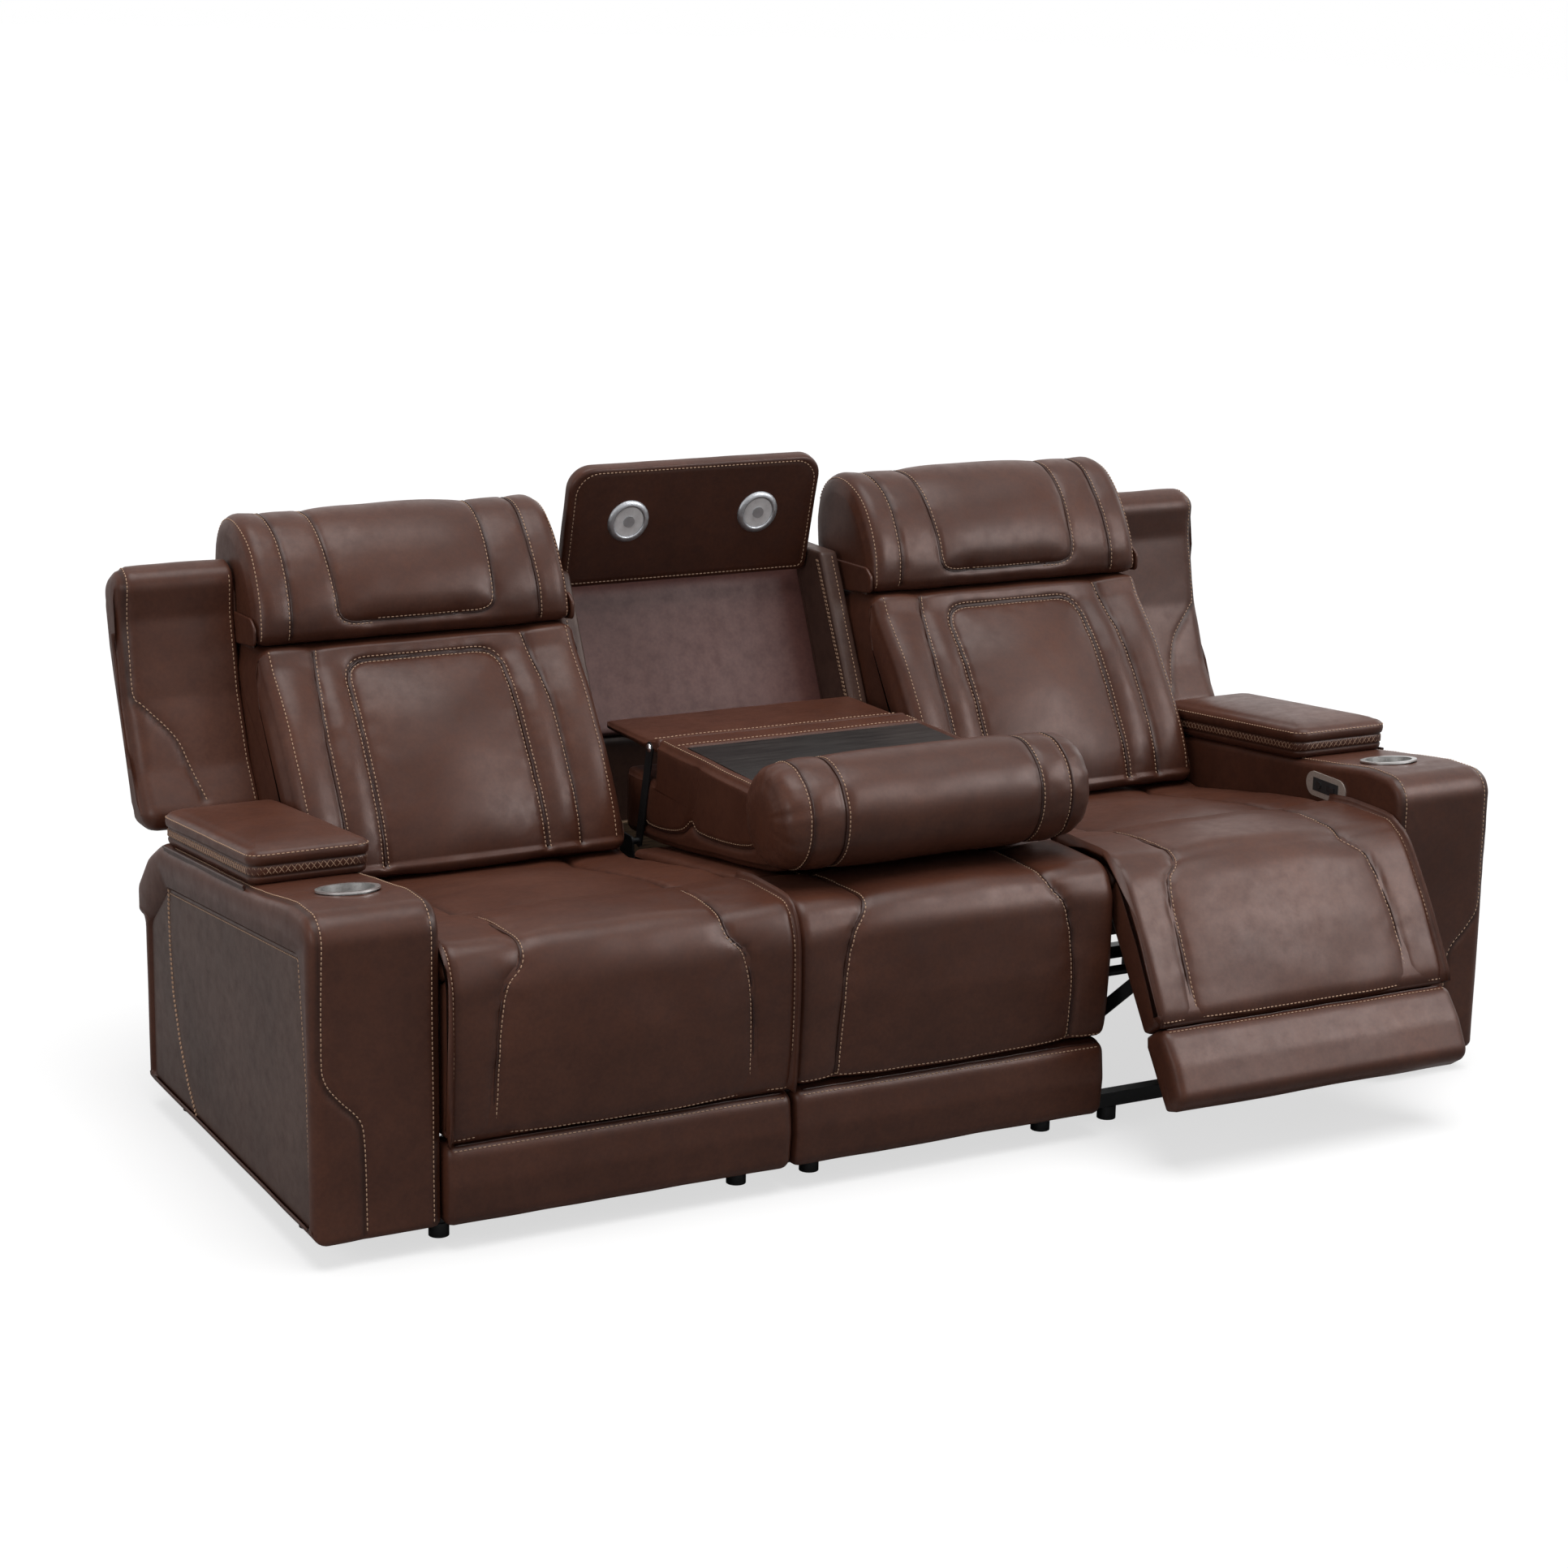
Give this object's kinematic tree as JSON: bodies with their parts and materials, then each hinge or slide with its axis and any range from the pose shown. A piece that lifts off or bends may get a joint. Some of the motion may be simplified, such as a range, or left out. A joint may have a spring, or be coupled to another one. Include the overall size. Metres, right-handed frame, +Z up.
{
  "type": "reclining sofa with drop-down console",
  "caption": "Power reclining three-seat sofa with a drop-down centre console and tray, pop-up reading-light panel, cup holders, lidded arm storage, tilting headrests and fold-out footrests.",
  "frame": {"origin": "centre of the bounding box at floor level", "axes": "+X along the sofa's length to the right seen from the front, -Y towards the sitter's feet, +Z up"},
  "size_m": [2.286, 1.3835, 1.0717],
  "materials": {
    "brown_leather": "semi-gloss, lightly mottled reddish brown",
    "dark_leather": "semi-gloss grey brown, outer sides and rear",
    "black_steel": "satin black",
    "motor_plastic": "matt",
    "board": "raw board",
    "stainless": "brushed",
    "nickel": "brushed bezel with a black insert",
    "tray_wood": "black, satin, fine grain",
    "lens": "translucent white",
    "button": "satin grey",
    "chrome": "polished"
  },
  "bodies": {
    "root": {"base_frame": "black_steel", "left_arm": "brown_leather", "right_arm": "brown_leather", "left_side_panel": "dark_leather", "right_side_panel": "dark_leather", "lid_hinges": "black_steel", "cup_holders": "stainless", "left_switch_plate": "nickel", "right_switch_plate": "nickel", "middle_seat_cushion": "brown_leather", "middle_front_pad": "brown_leather", "middle_front_roll": "brown_leather", "middle_seat_frame": "board", "middle_back": "dark_leather", "console_pivot_brackets": "black_steel"},
    "console": {"console_body": "brown_leather", "console_tray": "tray_wood", "console_cups": "stainless", "console_roll": "brown_leather", "gap_cover": "brown_leather", "console_brackets": "black_steel"},
    "light": {"light_panel": "brown_leather", "lamp_rings": "chrome", "lamp_lenses": "lens"},
    "left_lamp_button": {"left_lamp_button": "button"},
    "right_lamp_button": {"right_lamp_button": "button"},
    "left_seat": {"left_seat_cushion": "brown_leather", "left_seat_frame": "black_steel", "left_drive_motor": "motor_plastic"},
    "left_drive_block": {"left_drive_block": "motor_plastic"},
    "left_footrest": {"left_footrest_pad": "brown_leather", "left_footrest_roll": "brown_leather", "left_footrest_bracket": "black_steel"},
    "left_upper_links": {"left_upper_links": "black_steel"},
    "left_lower_links": {"left_lower_links": "black_steel"},
    "left_back": {"left_back_cushion": "brown_leather", "left_back_shell": "dark_leather", "left_back_frame": "black_steel", "left_wing": "brown_leather"},
    "left_headrest": {"left_headrest": "brown_leather"},
    "left_lid": {"left_lid": "brown_leather"},
    "left_round_button": {"left_round_button": "chrome"},
    "left_rocker_button": {"left_rocker_button": "chrome"},
    "right_seat": {"right_seat_cushion": "brown_leather", "right_seat_frame": "black_steel", "right_drive_motor": "motor_plastic"},
    "right_drive_block": {"right_drive_block": "motor_plastic"},
    "right_footrest": {"right_footrest_pad": "brown_leather", "right_footrest_roll": "brown_leather", "right_footrest_bracket": "black_steel"},
    "right_upper_links": {"right_upper_links": "black_steel"},
    "right_lower_links": {"right_lower_links": "black_steel"},
    "right_back": {"right_back_cushion": "brown_leather", "right_back_shell": "dark_leather", "right_back_frame": "black_steel", "right_wing": "brown_leather"},
    "right_headrest": {"right_headrest": "brown_leather"},
    "right_lid": {"right_lid": "brown_leather"},
    "right_round_button": {"right_round_button": "chrome"},
    "right_rocker_button": {"right_rocker_button": "chrome"}
  },
  "joints": [
    {"name": "left_seat_slide", "type": "slide", "parent": "root", "child": "left_seat", "axis": [0, -1, 0], "range_m": [0, 0.03]},
    {"name": "left_recline", "type": "hinge", "parent": "left_seat", "child": "left_back", "pos_m": [-0.6185, 0.3445, 0.37], "axis": [-1, 0, 0], "range_deg": [0, 28]},
    {"name": "left_footrest", "type": "hinge", "parent": "left_seat", "child": "left_footrest", "pos_m": [-0.6185, -0.4305, 0.47], "axis": [-1, 0, 0], "range_deg": [0, 80]},
    {"name": "left_upper_link", "type": "hinge", "parent": "left_seat", "child": "left_upper_links", "pos_m": [-0.6185, -0.2805, 0.35], "axis": [-1, 0, 0], "range_deg": [0, 80]},
    {"name": "left_lower_link", "type": "hinge", "parent": "left_footrest", "child": "left_lower_links", "pos_m": [-0.6185, -0.3885, 0.28], "axis": [-1, 0, 0], "range_deg": [-80, 0]},
    {"name": "left_drive", "type": "slide", "parent": "left_seat", "child": "left_drive_block", "axis": [0, -1, 0], "range_m": [0, 0.11502]},
    {"name": "left_headrest_tilt", "type": "hinge", "parent": "left_back", "child": "left_headrest", "pos_m": [-0.6185, 0.4365, 0.832], "axis": [1, 0, 0], "range_deg": [0, 28]},
    {"name": "left_lid_hinge", "type": "hinge", "parent": "root", "child": "left_lid", "pos_m": [-1.137, 0.0795, 0.52279], "axis": [0, -0.9952, 0.0974], "range_deg": [0, 85]},
    {"name": "left_round_press", "type": "slide", "parent": "root", "child": "left_round_button", "axis": [-1, 0, 0], "range_m": [0, 0.0012], "stiffness_N_per_m": 400},
    {"name": "left_rocker_press", "type": "slide", "parent": "root", "child": "left_rocker_button", "axis": [-1, 0, 0], "range_m": [0, 0.0012], "stiffness_N_per_m": 400},
    {"name": "right_seat_slide", "type": "slide", "parent": "root", "child": "right_seat", "axis": [0, -1, 0], "range_m": [0, 0.03]},
    {"name": "right_recline", "type": "hinge", "parent": "right_seat", "child": "right_back", "pos_m": [0.6185, 0.3445, 0.37], "axis": [-1, 0, 0], "range_deg": [0, 28]},
    {"name": "right_footrest", "type": "hinge", "parent": "right_seat", "child": "right_footrest", "pos_m": [0.6185, -0.4305, 0.47], "axis": [-1, 0, 0], "range_deg": [-34, 46]},
    {"name": "right_upper_link", "type": "hinge", "parent": "right_seat", "child": "right_upper_links", "pos_m": [0.6185, -0.2805, 0.35], "axis": [-1, 0, 0], "range_deg": [-34, 46]},
    {"name": "right_lower_link", "type": "hinge", "parent": "right_footrest", "child": "right_lower_links", "pos_m": [0.6185, -0.50193, 0.289], "axis": [-1, 0, 0], "range_deg": [-46, 34]},
    {"name": "right_drive", "type": "slide", "parent": "right_seat", "child": "right_drive_block", "axis": [0, -1, 0], "range_m": [-0.04889, 0.06615]},
    {"name": "right_headrest_tilt", "type": "hinge", "parent": "right_back", "child": "right_headrest", "pos_m": [0.6185, 0.4365, 0.832], "axis": [1, 0, 0], "range_deg": [0, 28]},
    {"name": "right_lid_hinge", "type": "hinge", "parent": "root", "child": "right_lid", "pos_m": [1.137, 0.0795, 0.52279], "axis": [0, 0.9952, -0.0974], "range_deg": [0, 85]},
    {"name": "right_round_press", "type": "slide", "parent": "root", "child": "right_round_button", "axis": [1, 0, 0], "range_m": [0, 0.0012], "stiffness_N_per_m": 400},
    {"name": "right_rocker_press", "type": "slide", "parent": "root", "child": "right_rocker_button", "axis": [1, 0, 0], "range_m": [0, 0.0012], "stiffness_N_per_m": 400},
    {"name": "console_hinge", "type": "hinge", "parent": "root", "child": "console", "pos_m": [0, 0.2445, 0.425], "axis": [-1, 0, 0], "range_deg": [0, 97]},
    {"name": "light_panel_hinge", "type": "hinge", "parent": "root", "child": "light", "pos_m": [0, 0.5945, 0.838], "axis": [1, 0, 0], "range_deg": [0, 147.1]},
    {"name": "left_lamp_press", "type": "slide", "parent": "light", "child": "left_lamp_button", "axis": [0, 0.9659, 0.2588], "range_m": [0, 0.0012], "stiffness_N_per_m": 400},
    {"name": "right_lamp_press", "type": "slide", "parent": "light", "child": "right_lamp_button", "axis": [0, 0.9659, 0.2588], "range_m": [0, 0.0012], "stiffness_N_per_m": 400}
  ],
  "couplings": [
    {"joint": "left_seat_slide", "follows": "left_recline", "m_per_rad": 0.0613},
    {"joint": "left_upper_link", "follows": "left_footrest", "ratio": 1},
    {"joint": "left_lower_link", "follows": "left_footrest", "ratio": -1},
    {"joint": "left_drive", "follows": "left_footrest", "m_per_rad": 0.08236},
    {"joint": "right_seat_slide", "follows": "right_recline", "m_per_rad": 0.0613},
    {"joint": "right_upper_link", "follows": "right_footrest", "ratio": 1},
    {"joint": "right_lower_link", "follows": "right_footrest", "ratio": -1},
    {"joint": "right_drive", "follows": "right_footrest", "m_per_rad": 0.08236},
    {"joint": "light_panel_hinge", "follows": "console_hinge", "ratio": 1.5155}
  ]
}
